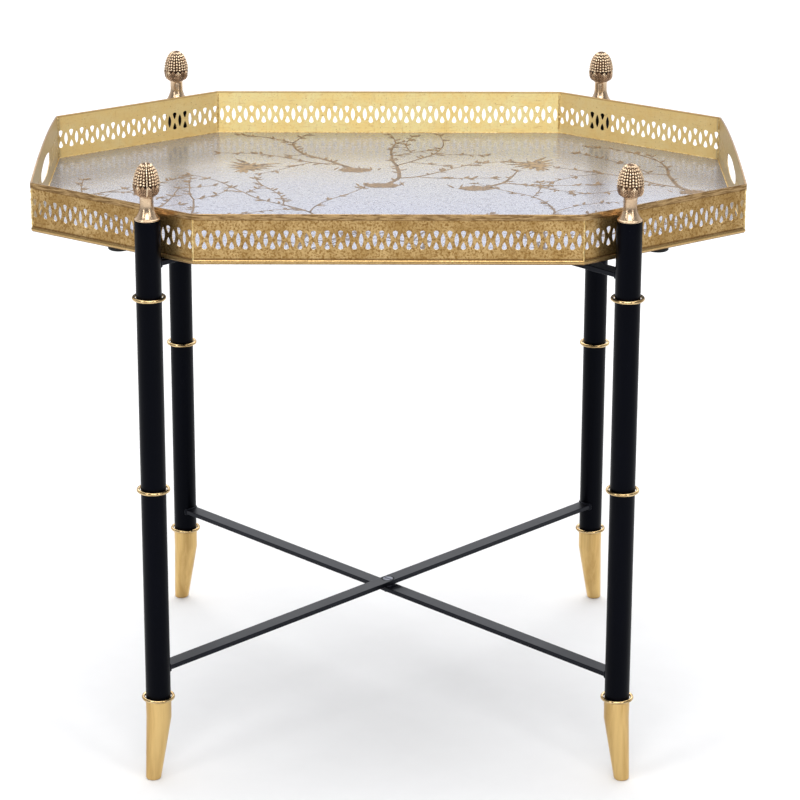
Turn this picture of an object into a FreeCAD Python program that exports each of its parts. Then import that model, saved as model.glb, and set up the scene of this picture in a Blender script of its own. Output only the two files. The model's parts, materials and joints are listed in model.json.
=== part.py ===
"""Octagonal gallery tray that lifts off a folding stand with four tubular legs.

Millimetres, +Z up, origin on the floor under the middle of the stand. The tray is longest
along X. Two leg frames, one on each diagonal, cross under the tray and turn about a
vertical line of pivot screws. Frame A holds the front-left and back-right legs, frame B the
front-right and back-left legs.
"""

import FreeCAD, Part
import os
import re
import Sketcher

# Every driving dimension: alias, value, what it measures.
SIZES = (
    ("tray_half_length", 356.5, "centre to the outer face of an end panel"),
    ("tray_half_depth", 244.8, "centre to the outer face of the front panel"),
    ("front_half", 189.4, "half the length of the front and back panels"),
    ("end_half", 132.4, "half the length of the end panels"),
    ("tray_bottom", 552.0, "height of the tray's lower rim above the floor"),
    ("gallery_height", 50.8, "gallery wall, lower rim to top edge"),
    ("sheet_thickness", 0.9, "sheet metal of the gallery wall"),
    ("hem_height", 5.6, "folded band along the top edge"),
    ("hem_proud", 1.0, "how far the folded band stands out"),
    ("hem_bevel", 0.5, "softened long edges of the folded band"),
    ("bead_height", 5.3, "rolled bead along the lower rim"),
    ("bead_radius", 2.7, "radius of the rolled bead's section"),
    ("mitre_waste", 6.0, "strip left past each corner before the mitre cut"),
    ("arch_rise", 7.0, "rise of the end panels' arched top"),
    ("hole_period", 13.2, "spacing of the piercings along the front, back and ends"),
    ("diagonal_period", 12.9, "spacing of the piercings along a diagonal panel"),
    ("hole_level", 24.8, "middle of the piercings above the lower rim"),
    ("lens_height", 14.6, "pointed oval piercing, tip to tip"),
    ("lens_width", 4.3, "pointed oval piercing, widest"),
    ("drop_near", 1.7, "pattern middle to the point of a drop"),
    ("drop_shoulder", 8.0, "pattern middle to the widest level of a drop"),
    ("drop_half_width", 2.5, "half the widest level of a drop"),
    ("drop_side_radius", 14.0, "curved sides of a drop"),
    ("drop_base_radius", 2.7, "curved base of a drop"),
    ("front_lens_count", 29, "pointed ovals in the front and back panels"),
    ("diagonal_lens_count", 15, "pointed ovals in a diagonal panel"),
    ("end_lens_count", 6, "pointed ovals on each side of a hand hole"),
    ("end_lens_start", 51.0, "middle of an end panel to its first pointed oval"),
    ("hand_half_length", 44.0, "half the length of a hand hole"),
    ("hand_half_height", 10.5, "half the height of a hand hole"),
    ("hand_end_radius", 6.0, "radius at the ends of a hand hole"),
    ("hand_level", 30.0, "middle of a hand hole above the lower rim"),
    ("floor_lift", 0.6, "lower rim to the underside of the floor sheet"),
    ("floor_thickness", 1.0, "floor sheet"),
    ("panel_gap", 0.1, "bedding between floor sheet and painted panel"),
    ("panel_thickness", 2.6, "painted panel"),
    ("panel_margin", 0.4, "painted panel's clearance to the gallery"),
    ("foot_radius", 11.0, "round pad under the tray"),
    ("foot_drop", 4.1, "pad below the tray's lower rim"),
    ("foot_inset", 12.0, "outer face of a diagonal panel to the pad's middle"),
    ("foot_chamfer", 0.8, "lower edge of a pad"),
    ("leg_offset", 233.8, "leg axis from the centre, along X and along Y"),
    ("tube_radius", 12.7, "leg tube, outside"),
    ("tube_bore", 11.2, "leg tube, inside"),
    ("tube_top", 594.0, "top of the leg tube above the floor"),
    ("fit_gap", 0.05, "radial clearance of a turned piece in its hole"),
    ("plug_height", 18.0, "threaded plug in the top of a leg tube"),
    ("stud_radius", 3.95, "finial stud"),
    ("stud_length", 15.0, "finial stud"),
    ("flare_radius", 12.75, "foot of the finial"),
    ("flare_edge", 1.6, "straight edge at the foot of the finial"),
    ("neck_radius", 6.75, "narrowest part of the finial"),
    ("neck_low", 15.5, "lower end of the neck"),
    ("neck_high", 22.0, "upper end of the neck"),
    ("neck_curve", 19.0, "hollow curve from foot to neck"),
    ("husk_radius", 9.0, "lower edge of the cone"),
    ("husk_level", 24.8, "lower edge of the cone"),
    ("cone_radius", 13.0, "widest part of the cone"),
    ("cone_level", 31.0, "widest part of the cone"),
    ("cone_low_curve", 6.8, "curve under the widest part"),
    ("cone_high_curve", 38.8, "curve above the widest part"),
    ("tip_radius", 3.0, "flat tip of the cone"),
    ("finial_height", 57.0, "whole finial above the tube"),
    ("wire_radius", 1.75, "wire of a ring"),
    ("ring_radius", 15.2, "middle of a ring's wire to the leg axis"),
    ("ring_top_level", 514.8, "upper ring above the floor"),
    ("ring_middle_level", 314.4, "middle ring above the floor"),
    ("ring_low_level", 88.6, "lower ring above the floor"),
    ("tack_radius", 1.0, "brazed tack between ring and tube"),
    ("tack_start", 12.5, "inner end of a tack from the leg axis"),
    ("tack_length", 2.0, "length of a tack"),
    ("tack_count", 3, "tacks on a ring"),
    ("sabot_height", 86.0, "metal foot of a leg, without its spigot"),
    ("sabot_top_radius", 13.1, "metal foot at the top"),
    ("sabot_waist_level", 66.0, "where the metal foot starts to taper"),
    ("sabot_waist_radius", 12.9, "metal foot where it starts to taper"),
    ("sabot_shin_level", 32.0, "halfway down the taper"),
    ("sabot_shin_radius", 10.3, "metal foot halfway down the taper"),
    ("sabot_shin_offset", 4.6, "outward lean halfway down the taper"),
    ("sabot_toe_radius", 7.75, "metal foot on the floor"),
    ("sabot_toe_offset", 9.2, "outward lean on the floor"),
    ("spigot_length", 20.0, "spigot of the metal foot inside the tube"),
    ("bar_width", 16.0, "flat bar"),
    ("bar_thickness", 5.0, "flat bar"),
    ("bar_round", 0.7, "rounded long edges of a flat bar"),
    ("upper_bar_top", 551.4, "top of frame A's upper bar"),
    ("lower_bar_top", 122.0, "top of frame A's lower bar"),
    ("upper_spacer", 5.9, "height between the upper bars"),
    ("lower_spacer", 2.0, "height between the lower bars"),
    ("spacer_radius", 8.0, "outside of a pivot spacer"),
    ("pivot_gap", 0.1, "play between a turning bar and its neighbours"),
    ("pivot_hole", 3.05, "radius of a pivot hole"),
    ("screw_radius", 3.0, "pivot screw shank"),
    ("screw_head", 6.0, "radius of the countersunk head"),
    ("slot_half_width", 0.6, "half the driver slot's width"),
    ("slot_depth", 1.4, "driver slot"),
    ("screw_end", 0.2, "screw past its nut"),
    ("nut_radius", 5.2, "centre of the nut to a corner"),
    ("nut_height", 2.0, "thin locking nut"),
)

# Leg name, side along X, side along Y, turn of its outward direction from +X in degrees.
LEGS = (
    ("front_left", -1, -1, 225),
    ("front_right", 1, -1, 315),
    ("back_left", -1, 1, 135),
    ("back_right", 1, 1, 45),
)
FRAME_A_TURN = 45
FRAME_B_TURN = 135

# Formulas that several sub-parts share.
DIAGONAL_RUN = "(tray_half_length - front_half)"
DIAGONAL_RISE = "(tray_half_depth - end_half)"
DIAGONAL_HALF = f"(sqrt({DIAGONAL_RUN}^2 + {DIAGONAL_RISE}^2) / 2)"
DIAGONAL_TURN = f"atan({DIAGONAL_RISE} / {DIAGONAL_RUN})"
FRONT_MITRE = f"tan({DIAGONAL_TURN} / 2)"
END_MITRE = f"tan(atan({DIAGONAL_RUN} / {DIAGONAL_RISE}) / 2)"
LEG_RADIUS = "(leg_offset * sqrt(2))"
PANEL_BOTTOM = "(tray_bottom + floor_lift + floor_thickness + panel_gap)"

# Point positions on a sketch edge.
START = 1
END = 2
CENTRE = 3

doc = FreeCAD.newDocument("GalleryTrayTable")
sheet = doc.addObject("Spreadsheet::Sheet", "Sizes")
sub_parts = []


def fill_sheet():
    for row, (alias, number, note) in enumerate(SIZES, start=1):
        sheet.set(f"A{row}", alias)
        sheet.set(f"B{row}", str(number))
        sheet.set(f"C{row}", note)
        sheet.setAlias(f"B{row}", alias)
    doc.recompute()


def bound(formula):
    """Point every size word of a formula at the sheet."""
    return re.sub(r"[a-z]+(?:_[a-z]+)+", lambda word: "Sizes." + word.group(), str(formula))


def value(formula):
    """Work a formula out now, for a sketch's first position."""
    result = sheet.evalExpression(bound(formula))
    return float(getattr(result, "Value", result))


def new_body(label):
    body = doc.addObject("PartDesign::Body", label)
    body.Label = label
    sub_parts.append(body)
    return body


def origin_feature(body, role):
    return next(item for item in body.Origin.OriginFeatures if item.Role == role)


def new_sketch(body, plane, lift="0"):
    """Start a sketch on an origin plane of its own body, lifted along the plane's normal."""
    sketch = body.newObject("Sketcher::SketchObject", "Sketch")
    sketch.AttachmentSupport = [(origin_feature(body, plane), "")]
    sketch.MapMode = "FlatFace"
    sketch.setExpression(".AttachmentOffset.Base.z", bound(lift))
    return sketch


def constrain(sketch, kind, *arguments, formula):
    """Add a dimension and bind it to its formula."""
    constraint = Sketcher.Constraint(kind, *arguments, value(formula))
    index = sketch.addConstraint(constraint)
    name = f"size_{index}"
    sketch.renameConstraint(index, name)
    sketch.setExpression(f"Constraints.{name}", bound(formula))


def locate(sketch, edge, position, x, y):
    constrain(sketch, "DistanceX", -1, 1, edge, position, formula=x)
    constrain(sketch, "DistanceY", -1, 1, edge, position, formula=y)


def draw_circle(sketch, x, y, radius):
    centre = FreeCAD.Vector(value(x), value(y), 0)
    circle = Part.Circle(centre, FreeCAD.Vector(0, 0, 1), value(radius))
    edge = sketch.addGeometry(circle, False)
    locate(sketch, edge, CENTRE, x, y)
    constrain(sketch, "Radius", edge, formula=radius)


def arc_between(start, finish, radius, bulge):
    """A minor arc between two points: its bulge is out (to the right) or in (to the left)."""
    chord = finish - start
    to_left = FreeCAD.Vector(-chord.y, chord.x, 0).normalize()
    side = 1 if bulge == "out" else -1
    height = max(radius**2 - (chord.Length / 2) ** 2, 0) ** 0.5
    centre = (start + finish) / 2 + to_left * side * height
    circle = Part.Circle(centre, FreeCAD.Vector(0, 0, 1), radius)
    first, last = (start, finish) if bulge == "out" else (finish, start)
    return Part.ArcOfCircle(circle, circle.parameter(first), circle.parameter(last))


def draw_outline(sketch, corners):
    """Draw a closed outline, counter-clockwise.

    A corner is (x, y) where a straight edge leaves it, or (x, y, bulge, radius) where an
    arc leaves it.
    """
    points = [FreeCAD.Vector(value(corner[0]), value(corner[1]), 0) for corner in corners]
    following = points[1:] + points[:1]
    edges = []
    for corner, start, finish in zip(corners, points, following):
        if len(corner) == 2:
            edge = sketch.addGeometry(Part.LineSegment(start, finish), False)
            edges.append((edge, START, END))
            continue
        bulge, radius = corner[2:]
        edge = sketch.addGeometry(arc_between(start, finish, value(radius), bulge), False)
        edges.append((edge, START, END) if bulge == "out" else (edge, END, START))
    for index, corner in enumerate(corners):
        before = edges[index - 1]
        after = edges[index]
        joint = Sketcher.Constraint("Coincident", before[0], before[2], after[0], after[1])
        sketch.addConstraint(joint)
        locate(sketch, after[0], after[1], corner[0], corner[1])
    for corner, edge in zip(corners, edges):
        if len(corner) > 2:
            constrain(sketch, "Radius", edge[0], formula=corner[3])


def pad(body, sketch, length, reverse=False, symmetric=False):
    feature = body.newObject("PartDesign::Pad", "Pad")
    feature.Profile = sketch
    feature.setExpression("Length", bound(length))
    feature.Reversed = reverse
    if symmetric:
        feature.SideType = "Symmetric"
    doc.recompute()
    return feature


def revolve(body, sketch):
    feature = body.newObject("PartDesign::Revolution", "Revolution")
    feature.Profile = sketch
    feature.ReferenceAxis = (sketch, ["V_Axis"])
    doc.recompute()
    return feature


def cut_through(body, sketch, reverse=False):
    """Pocket right through the body, and make sure that it took something away."""
    before = body.Shape.Volume
    feature = body.newObject("PartDesign::Pocket", "Pocket")
    feature.Profile = sketch
    feature.Type = "ThroughAll"
    feature.Reversed = reverse
    doc.recompute()
    if body.Shape.Volume >= before:
        raise RuntimeError(f"{body.Label}: a pocket cuts nothing")
    return feature


def groove(body, sketch):
    before = body.Shape.Volume
    feature = body.newObject("PartDesign::Groove", "Groove")
    feature.Profile = sketch
    feature.ReferenceAxis = (sketch, ["V_Axis"])
    doc.recompute()
    if body.Shape.Volume >= before:
        raise RuntimeError(f"{body.Label}: a groove cuts nothing")
    return feature


def repeat_along_x(body, feature, count, pitch):
    pattern = body.newObject("PartDesign::LinearPattern", "LinearPattern")
    pattern.Originals = [feature]
    pattern.Direction = (origin_feature(body, "X_Axis"), [""])
    pattern.setExpression("Occurrences", bound(count))
    pattern.setExpression("Length", bound(f"({count} - 1) * {pitch}"))
    body.Tip = pattern
    doc.recompute()
    return pattern


def repeat_around_z(body, feature, count):
    pattern = body.newObject("PartDesign::PolarPattern", "PolarPattern")
    pattern.Originals = [feature]
    pattern.Axis = (origin_feature(body, "Z_Axis"), [""])
    pattern.setExpression("Occurrences", bound(count))
    body.Tip = pattern
    doc.recompute()
    return pattern


def place(body, x="0", y="0", z="0", turn="0"):
    """Bind a body's place, and its turn about the vertical in degrees."""
    body.setExpression(".Placement.Base.x", bound(x))
    body.setExpression(".Placement.Base.y", bound(y))
    body.setExpression(".Placement.Base.z", bound(z))
    body.setExpression(".Placement.Rotation.Angle", bound(turn))


# ---- Tray -------------------------------------------------------------------------------


def draw_band(sketch, half, low, high, rise):
    """An upright band of the gallery strip, straight or with a concentric arched edge."""
    reach = f"({half} + mitre_waste)"
    if rise is None:
        draw_outline(sketch, [(f"-{reach}", low), (reach, low), (reach, high), (f"-{reach}", high)])
        return
    curve = f"(({half}^2 + {rise}^2) / (2 * {rise}))"
    top_end = f"({high} + {rise} - {curve} + sqrt({curve}^2 - {reach}^2))"
    if low == "0":
        bottom = [(f"-{reach}", low), (reach, low)]
    else:
        inner = f"({curve} - {high} + {low})"
        low_end = f"({high} + {rise} - {curve} + sqrt({inner}^2 - {reach}^2))"
        bottom = [(f"-{reach}", low_end, "in", inner), (reach, low_end)]
    draw_outline(sketch, bottom + [(reach, top_end, "out", curve), (f"-{reach}", top_end)])


def bevel_hem(body, strip):
    """Bevel both long edges along the folded top of a gallery strip."""
    level = body.Shape.BoundBox.ZMax - value("hem_height") / 2
    names = []
    for number, edge in enumerate(strip.Shape.Edges, start=1):
        box = edge.BoundBox
        if box.XLength > value("end_half") and box.ZMax > level:
            names.append(f"Edge{number}")
    chamfer = body.newObject("PartDesign::Chamfer", "Chamfer")
    chamfer.Base = (strip, names)
    chamfer.setExpression("Size", bound("hem_bevel"))
    doc.recompute()


def cut_mitres(body, half, left_mitre, right_mitre):
    """Trim both ends of a strip along the planes it shares with its neighbours."""
    outside = "(hem_proud + bead_radius)"
    inside = "(sheet_thickness + bead_radius)"
    far = f"({half} + mitre_waste + 1)"
    sketch = new_sketch(body, "XY_Plane")
    draw_outline(
        sketch,
        [
            (f"{half} + {outside} * {right_mitre}", f"-{outside}"),
            (far, f"-{outside}"),
            (far, inside),
            (f"{half} - {inside} * {right_mitre}", inside),
        ],
    )
    draw_outline(
        sketch,
        [
            (f"-{far}", f"-{outside}"),
            (f"-({half} + {outside} * {left_mitre})", f"-{outside}"),
            (f"-({half} - {inside} * {left_mitre})", inside),
            (f"-{far}", inside),
        ],
    )
    return cut_through(body, sketch, reverse=True)


def draw_lens(sketch, middle):
    """A pointed oval piercing."""
    curve = "((lens_height^2 + lens_width^2) / (4 * lens_width))"
    draw_outline(
        sketch,
        [
            (middle, "hole_level - lens_height / 2", "out", curve),
            (middle, "hole_level + lens_height / 2", "out", curve),
        ],
    )


def draw_drops(sketch, middle):
    """A pair of drop-shaped piercings, point to point."""
    left = f"({middle} - drop_half_width)"
    right = f"({middle} + drop_half_width)"
    side = ("out", "drop_side_radius")
    base = ("out", "drop_base_radius")
    draw_outline(
        sketch,
        [
            (middle, "hole_level + drop_near", *side),
            (right, "hole_level + drop_shoulder", *base),
            (left, "hole_level + drop_shoulder", *side),
        ],
    )
    draw_outline(
        sketch,
        [
            (middle, "hole_level - drop_near", *side),
            (left, "hole_level - drop_shoulder", *base),
            (right, "hole_level - drop_shoulder", *side),
        ],
    )


def pierce(body, draw_hole, starts, count, period="hole_period"):
    """Cut the first piercing of each run, then repeat it along the strip."""
    sketch = new_sketch(body, "XZ_Plane")
    for start in starts:
        draw_hole(sketch, start)
    first = cut_through(body, sketch)
    repeat_along_x(body, first, count, period)


def cut_hand_hole(body):
    """An oval of four tangent arcs."""
    ends = "hand_end_radius"
    flat = (
        "((hand_half_length^2 + hand_half_height^2 - 2 * hand_half_length * hand_end_radius)"
        " / (2 * (hand_half_height - hand_end_radius)))"
    )
    centre_x = f"(hand_half_length - {ends})"
    slant = f"({flat} - {ends})"
    x = f"({centre_x} * (1 + {ends} / {slant}))"
    y = f"({ends} * ({flat} - hand_half_height) / {slant})"
    sketch = new_sketch(body, "XZ_Plane")
    draw_outline(
        sketch,
        [
            (f"-{x}", f"hand_level - {y}", "out", flat),
            (x, f"hand_level - {y}", "out", ends),
            (x, f"hand_level + {y}", "out", flat),
            (f"-{x}", f"hand_level + {y}", "out", ends),
        ],
    )
    cut_through(body, sketch)


def gallery_strip(label, half, left_mitre, right_mitre, rise=None):
    """One wall of the gallery, outer face on y = 0 and outward along -Y."""
    body = new_body(label)
    wall = new_sketch(body, "XZ_Plane")
    draw_band(wall, half, "0", "gallery_height", rise)
    pad(body, wall, "sheet_thickness", reverse=True)
    band = new_sketch(body, "XZ_Plane")
    draw_band(band, half, "gallery_height - hem_height", "gallery_height", rise)
    pad(body, band, "hem_proud")
    bead = new_sketch(body, "YZ_Plane")
    draw_outline(
        bead,
        [("sheet_thickness", "0"), ("sheet_thickness", "bead_height", "out", "bead_radius")],
    )
    pad(body, bead, f"2 * ({half} + mitre_waste)", symmetric=True)
    bevel_hem(body, cut_mitres(body, half, left_mitre, right_mitre))
    return body


def long_panels():
    lens_span = "((front_lens_count - 1) * hole_period / 2)"
    for label, side, turn in (("gallery_front", -1, 0), ("gallery_back", 1, 180)):
        body = gallery_strip(label, "front_half", FRONT_MITRE, FRONT_MITRE)
        pierce(body, draw_lens, [f"-{lens_span}"], "front_lens_count")
        pierce(body, draw_drops, [f"-{lens_span} + hole_period / 2"], "(front_lens_count - 1)")
        place(body, y=f"{side} * tray_half_depth", z="tray_bottom", turn=turn)


def diagonal_panels():
    period = "diagonal_period"
    lens_span = f"((diagonal_lens_count - 1) * {period} / 2)"
    drop_span = f"(diagonal_lens_count * {period} / 2)"
    for name, side_x, side_y, _ in LEGS:
        mitres = (FRONT_MITRE, END_MITRE) if side_x * side_y < 0 else (END_MITRE, FRONT_MITRE)
        body = gallery_strip(f"gallery_{name}", DIAGONAL_HALF, *mitres)
        pierce(body, draw_lens, [f"-{lens_span}"], "diagonal_lens_count", period)
        pierce(body, draw_drops, [f"-{drop_span}"], "(diagonal_lens_count + 1)", period)
        lean = f"{side_x * -side_y} * {DIAGONAL_TURN}"
        turn = lean if side_y < 0 else f"180 deg + {lean}"
        place(
            body,
            x=f"{side_x} * (tray_half_length + front_half) / 2",
            y=f"{side_y} * (tray_half_depth + end_half) / 2",
            z="tray_bottom",
            turn=turn,
        )


def end_panels():
    lens_span = "((end_lens_count - 1) * hole_period)"
    lens_starts = ["end_lens_start", f"-end_lens_start - {lens_span}"]
    drop_starts = [
        "end_lens_start + hole_period / 2",
        f"-end_lens_start - hole_period / 2 - {lens_span}",
    ]
    for label, side, turn in (("end_panel_left", -1, 270), ("end_panel_right", 1, 90)):
        body = gallery_strip(label, "end_half", END_MITRE, END_MITRE, rise="arch_rise")
        pierce(body, draw_lens, lens_starts, "end_lens_count")
        pierce(body, draw_drops, drop_starts, "end_lens_count")
        cut_hand_hole(body)
        place(body, x=f"{side} * tray_half_length", z="tray_bottom", turn=turn)


def octagon(label, inset, bottom, thickness):
    """A flat plate that fills the gallery, drawn in by the same amount on all sides."""
    body = new_body(label)
    long_x = f"(front_half - {inset} * {FRONT_MITRE})"
    long_y = f"(tray_half_depth - {inset})"
    end_x = f"(tray_half_length - {inset})"
    end_y = f"(end_half - {inset} * {END_MITRE})"
    sketch = new_sketch(body, "XY_Plane")
    draw_outline(
        sketch,
        [
            (f"-{long_x}", f"-{long_y}"),
            (long_x, f"-{long_y}"),
            (end_x, f"-{end_y}"),
            (end_x, end_y),
            (long_x, long_y),
            (f"-{long_x}", long_y),
            (f"-{end_x}", end_y),
            (f"-{end_x}", f"-{end_y}"),
        ],
    )
    pad(body, sketch, thickness)
    place(body, z=bottom)


def tray_feet():
    """Round pads under the floor sheet, close to the middle of each diagonal panel."""
    height = "foot_drop + floor_lift"
    for name, side_x, side_y, _ in LEGS:
        body = new_body(f"tray_foot_{name}")
        sketch = new_sketch(body, "XZ_Plane")
        draw_outline(
            sketch,
            [
                ("0", "0"),
                ("foot_radius - foot_chamfer", "0"),
                ("foot_radius", "foot_chamfer"),
                ("foot_radius", height),
                ("0", height),
            ],
        )
        revolve(body, sketch)
        inward_x = f"foot_inset * sin({DIAGONAL_TURN})"
        inward_y = f"foot_inset * cos({DIAGONAL_TURN})"
        place(
            body,
            x=f"{side_x} * ((tray_half_length + front_half) / 2 - {inward_x})",
            y=f"{side_y} * ((tray_half_depth + end_half) / 2 - {inward_y})",
            z="tray_bottom - foot_drop",
        )


def build_tray():
    octagon("tray_floor", "sheet_thickness", "tray_bottom + floor_lift", "floor_thickness")
    octagon("painted_panel", "(sheet_thickness + panel_margin)", PANEL_BOTTOM, "panel_thickness")
    long_panels()
    diagonal_panels()
    end_panels()
    tray_feet()


# ---- Legs -------------------------------------------------------------------------------


def leg_tube(name):
    body = new_body(f"leg_tube_{name}")
    sketch = new_sketch(body, "XY_Plane")
    draw_circle(sketch, "0", "0", "tube_radius")
    draw_circle(sketch, "0", "0", "tube_bore")
    pad(body, sketch, "tube_top - sabot_height")
    return body, "sabot_height"


def tube_plug(name):
    """Plug that closes the tube and takes the finial's stud."""
    body = new_body(f"tube_plug_{name}")
    sketch = new_sketch(body, "XY_Plane")
    draw_circle(sketch, "0", "0", "tube_bore - fit_gap")
    draw_circle(sketch, "0", "0", "stud_radius + fit_gap")
    pad(body, sketch, "plug_height")
    return body, "tube_top - plug_height"


def finial(name):
    """Turned foot and hollow neck under a plump cone, with a stud below."""
    body = new_body(f"finial_{name}")
    sketch = new_sketch(body, "XZ_Plane")
    draw_outline(
        sketch,
        [
            ("0", "-stud_length"),
            ("stud_radius", "-stud_length"),
            ("stud_radius", "0"),
            ("flare_radius", "0"),
            ("flare_radius", "flare_edge", "in", "neck_curve"),
            ("neck_radius", "neck_low"),
            ("neck_radius", "neck_high"),
            ("husk_radius", "husk_level", "out", "cone_low_curve"),
            ("cone_radius", "cone_level", "out", "cone_high_curve"),
            ("tip_radius", "finial_height"),
            ("0", "finial_height"),
        ],
    )
    revolve(body, sketch)
    return body, "tube_top"


def ring(name, place_name, level):
    """Wire ring held clear of the tube by brazed tacks."""
    body = new_body(f"ring_{place_name}_{name}")
    wire = new_sketch(body, "XZ_Plane")
    draw_circle(wire, "ring_radius", "0", "wire_radius")
    revolve(body, wire)
    tack = new_sketch(body, "YZ_Plane", lift="tack_start")
    draw_circle(tack, "0", "0", "tack_radius")
    repeat_around_z(body, pad(body, tack, "tack_length"), "tack_count")
    return body, level


def sabot(name):
    """Tapered metal foot that leans outward, with a spigot for the tube."""
    body = new_body(f"sabot_{name}")
    sections = (
        ("0", "sabot_toe_offset", "sabot_toe_radius"),
        ("sabot_shin_level", "sabot_shin_offset", "sabot_shin_radius"),
        ("sabot_waist_level", "0", "sabot_waist_radius"),
        ("sabot_height", "0", "sabot_top_radius"),
    )
    sketches = []
    for level, offset, radius in sections:
        sketch = new_sketch(body, "XY_Plane", lift=level)
        draw_circle(sketch, offset, "0", radius)
        sketches.append(sketch)
    loft = body.newObject("PartDesign::AdditiveLoft", "Loft")
    loft.Profile = sketches[0]
    loft.Sections = sketches[1:]
    doc.recompute()
    spigot = new_sketch(body, "XY_Plane", lift="sabot_height")
    draw_circle(spigot, "0", "0", "tube_bore - fit_gap")
    pad(body, spigot, "spigot_length")
    return body, "0"


def build_legs():
    rings = (
        ("upper", "ring_top_level"),
        ("middle", "ring_middle_level"),
        ("lower", "ring_low_level"),
    )
    for name, side_x, side_y, turn in LEGS:
        pieces = [leg_tube(name), tube_plug(name), finial(name), sabot(name)]
        pieces += [ring(name, place_name, level) for place_name, level in rings]
        for body, level in pieces:
            place(body, f"{side_x} * leg_offset", f"{side_y} * leg_offset", level, turn)


# ---- Cross bars and pivots --------------------------------------------------------------


def bar_section():
    """Flat bar seen end on, with rounded long edges."""
    side = "(bar_width / 2)"
    edge = "(bar_width / 2 - bar_round)"
    high = "bar_thickness"
    shoulder = "(bar_thickness - bar_round)"
    corner = ("out", "bar_round")
    return [
        (f"-{edge}", "0"),
        (edge, "0", *corner),
        (side, "bar_round"),
        (side, shoulder, *corner),
        (edge, high),
        (f"-{edge}", high, *corner),
        (f"-{side}", shoulder),
        (f"-{side}", "bar_round", *corner),
    ]


def cross_bar(label, bottom, turn, countersunk):
    """Flat bar along X between two legs, hollowed at both ends to fit the tubes."""
    body = new_body(label)
    section = new_sketch(body, "YZ_Plane")
    draw_outline(section, bar_section())
    pad(body, section, f"2 * {LEG_RADIUS}", symmetric=True)
    holes = new_sketch(body, "XY_Plane")
    draw_circle(holes, LEG_RADIUS, "0", "tube_radius")
    draw_circle(holes, f"-{LEG_RADIUS}", "0", "tube_radius")
    draw_circle(holes, "0", "0", "pivot_hole")
    cut_through(body, holes, reverse=True)
    if countersunk:
        cone = new_sketch(body, "XZ_Plane")
        seat = "bar_thickness - screw_head + screw_radius"
        draw_outline(
            cone,
            [("0", seat), ("screw_radius", seat), ("screw_head", "bar_thickness"), ("0", "bar_thickness")],
        )
        groove(body, cone)
    place(body, z=bottom, turn=turn)


def pivot_screw(label, top, spacer):
    """Countersunk screw from frame A's bar down through frame B's bar and the nut."""
    body = new_body(label)
    neck = "-(screw_head - screw_radius)"
    tip = f"-(2 * bar_thickness + {spacer} + pivot_gap + nut_height + screw_end)"
    profile = new_sketch(body, "XZ_Plane")
    draw_outline(
        profile,
        [("0", tip), ("screw_radius", tip), ("screw_radius", neck), ("screw_head", "0"), ("0", "0")],
    )
    revolve(body, profile)
    slot = new_sketch(body, "XZ_Plane")
    draw_outline(
        slot,
        [
            ("-slot_half_width", "-slot_depth"),
            ("slot_half_width", "-slot_depth"),
            ("slot_half_width", "slot_depth"),
            ("-slot_half_width", "slot_depth"),
        ],
    )
    before = body.Shape.Volume
    cut = body.newObject("PartDesign::Pocket", "Slot")
    cut.Profile = slot
    cut.SideType = "Symmetric"
    cut.setExpression("Length", bound("2 * screw_head + 1"))
    doc.recompute()
    if body.Shape.Volume >= before:
        raise RuntimeError(f"{label}: the driver slot cuts nothing")
    place(body, z=top, turn=FRAME_A_TURN)


def pivot_spacer(label, top, spacer):
    body = new_body(label)
    sketch = new_sketch(body, "XY_Plane")
    draw_circle(sketch, "0", "0", "spacer_radius")
    draw_circle(sketch, "0", "0", "pivot_hole")
    pad(body, sketch, f"{spacer} - pivot_gap")
    place(body, z=f"{top} - bar_thickness - {spacer} + pivot_gap")


def pivot_nut(label, top, spacer):
    body = new_body(label)
    sketch = new_sketch(body, "XY_Plane")
    corners = [(f"nut_radius * cos({60 * k} deg)", f"nut_radius * sin({60 * k} deg)") for k in range(6)]
    draw_outline(sketch, corners)
    draw_circle(sketch, "0", "0", "screw_radius")
    pad(body, sketch, "nut_height")
    place(body, z=f"{top} - 2 * bar_thickness - {spacer} - pivot_gap - nut_height")


def build_cross_bars():
    for name in ("upper", "lower"):
        top = f"{name}_bar_top"
        spacer = f"{name}_spacer"
        cross_bar(f"{name}_bar_a", f"{top} - bar_thickness", FRAME_A_TURN, countersunk=True)
        under = f"{top} - 2 * bar_thickness - {spacer}"
        cross_bar(f"{name}_bar_b", under, FRAME_B_TURN, countersunk=False)
        pivot_screw(f"{name}_pivot_screw", top, spacer)
        pivot_spacer(f"{name}_pivot_spacer", top, spacer)
        pivot_nut(f"{name}_pivot_nut", top, spacer)


# ---- Checks and files -------------------------------------------------------------------


def check_model():
    """Stop on anything that failed to build, or that isn't one sound solid."""
    doc.recompute()
    for item in doc.Objects:
        if {"Invalid", "Error"} & set(item.State):
            raise RuntimeError(f"{item.Label} failed: {item.State}")
    for body in sub_parts:
        shape = body.Shape
        if shape.isNull() or not shape.isValid() or len(shape.Solids) != 1:
            raise RuntimeError(f"{body.Label} isn't one valid solid")


def write_parts():
    os.makedirs("parts", exist_ok=True)
    for body in sub_parts:
        body.Shape.exportStep(os.path.join("parts", f"{body.Label}.step"))
        box = body.Shape.BoundBox
        print(f"{body.Label}: {box.XLength:.1f} x {box.YLength:.1f} x {box.ZLength:.1f}")


fill_sheet()
build_tray()
build_legs()
build_cross_bars()
check_model()
write_parts()
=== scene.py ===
import json
import math
import random

import bpy
from mathutils import Matrix, Vector


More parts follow.
